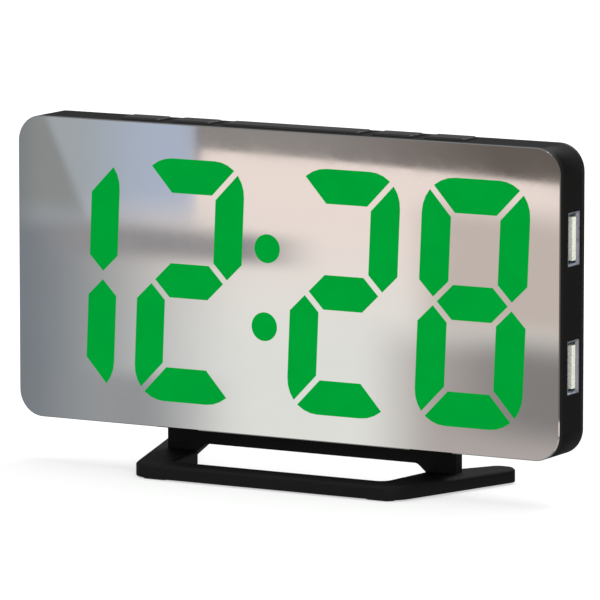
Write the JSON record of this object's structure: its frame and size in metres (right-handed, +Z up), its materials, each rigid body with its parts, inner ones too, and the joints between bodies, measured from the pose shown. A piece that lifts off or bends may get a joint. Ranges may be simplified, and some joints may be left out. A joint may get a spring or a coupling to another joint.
{
  "type": "digital led desk clock",
  "caption": "Slab-shaped mirror-faced LED desk clock on a splayed stand, with push buttons along the top, side charging sockets and a twist-lock battery door.",
  "frame": {"origin": "table level under the middle of the whole object", "axes": "+X to the clock's right as seen from the front, +Y away from the mirror face, +Z up"},
  "size_m": [0.16, 0.044, 0.0926],
  "materials": {
    "stand_plastic": "satin black moulded plastic",
    "foot_rubber": "matt dark grey rubber",
    "half_mirror": "polished half-silvered acrylic, lets the lit digits through",
    "black_tape": "thin black foam tape",
    "case_plastic": "satin black moulded plastic",
    "cover_plastic": "fine spark-textured black plastic",
    "screw_steel": "black-oxide steel",
    "reflector_plastic": "matt dark plastic",
    "green_light": "lit green diffuser",
    "dark_diffuser": "unlit milky diffuser",
    "board_laminate": "green solder mask",
    "led_resin": "clear yellowish resin",
    "chip_resin": "black moulding compound",
    "tinned_leads": "tin plate",
    "can_metal": "drawn metal can",
    "ferrite": "dark grey ferrite",
    "switch_plastic": "black plastic",
    "socket_steel": "bright nickel-plated steel",
    "socket_cream": "cream plastic",
    "contact_gold": "gold plate",
    "inlet_plastic": "black plastic",
    "cell_steel": "nickel-plated steel",
    "door_plastic": "fine spark-textured black plastic",
    "button_plastic": "satin charcoal plastic",
    "plunger_plastic": "white plastic"
  },
  "bodies": {
    "stand": {"stand": "stand_plastic", "stand_feet": "foot_rubber"},
    "clock": {"mirror_panel": "half_mirror", "panel_tape": "black_tape", "case_frame": "case_plastic", "back_cover": "cover_plastic", "cover_screws": "screw_steel", "display_reflector": "reflector_plastic", "lit_segments": "green_light", "unlit_segments": "dark_diffuser", "main_board": "board_laminate", "segment_leds": "led_resin", "controller_chip": "chip_resin", "chip_leads": "tinned_leads", "clock_crystal": "can_metal", "capacitor_cans": "can_metal", "capacitor_bases": "chip_resin", "power_inductor": "ferrite", "buzzer": "chip_resin", "switch_bodies": "switch_plastic", "usb_shell_upper": "socket_steel", "usb_shell_lower": "socket_steel", "usb_tongue_upper": "socket_cream", "usb_tongue_lower": "socket_cream", "usb_contacts": "contact_gold", "dc_inlet": "inlet_plastic", "dc_pin": "contact_gold", "cell_holder": "inlet_plastic", "coin_cell": "cell_steel", "cell_spring": "cell_steel", "cell_clip": "cell_steel"},
    "button_left_outer": {"button_left_outer": "button_plastic", "plunger_left_outer": "plunger_plastic"},
    "button_left_inner": {"button_left_inner": "button_plastic", "plunger_left_inner": "plunger_plastic"},
    "button_snooze": {"button_snooze": "button_plastic", "plunger_snooze": "plunger_plastic"},
    "button_right_inner": {"button_right_inner": "button_plastic", "plunger_right_inner": "plunger_plastic"},
    "button_right_outer": {"button_right_outer": "button_plastic", "plunger_right_outer": "plunger_plastic"},
    "battery_door": {"battery_door": "door_plastic"}
  },
  "joints": [
    {"name": "clock_lift", "type": "slide", "parent": "stand", "child": "clock", "axis": [0, 0, 1], "range_m": [0, 0.026]},
    {"name": "press_left_outer", "type": "slide", "parent": "clock", "child": "button_left_outer", "axis": [0, 0, -1], "range_m": [0, 0.0005], "stiffness_N_per_m": 400, "springref_m": -0.001},
    {"name": "press_left_inner", "type": "slide", "parent": "clock", "child": "button_left_inner", "axis": [0, 0, -1], "range_m": [0, 0.0005], "stiffness_N_per_m": 400, "springref_m": -0.001},
    {"name": "press_snooze", "type": "slide", "parent": "clock", "child": "button_snooze", "axis": [0, 0, -1], "range_m": [0, 0.0005], "stiffness_N_per_m": 400, "springref_m": -0.001},
    {"name": "press_right_inner", "type": "slide", "parent": "clock", "child": "button_right_inner", "axis": [0, 0, -1], "range_m": [0, 0.0005], "stiffness_N_per_m": 400, "springref_m": -0.001},
    {"name": "press_right_outer", "type": "slide", "parent": "clock", "child": "button_right_outer", "axis": [0, 0, -1], "range_m": [0, 0.0005], "stiffness_N_per_m": 400, "springref_m": -0.001},
    {"name": "door_twist", "type": "hinge", "parent": "clock", "child": "battery_door", "pos_m": [0.04, 0.0033, 0.06], "axis": [0, 1, 0], "range_deg": [0, 45]}
  ]
}
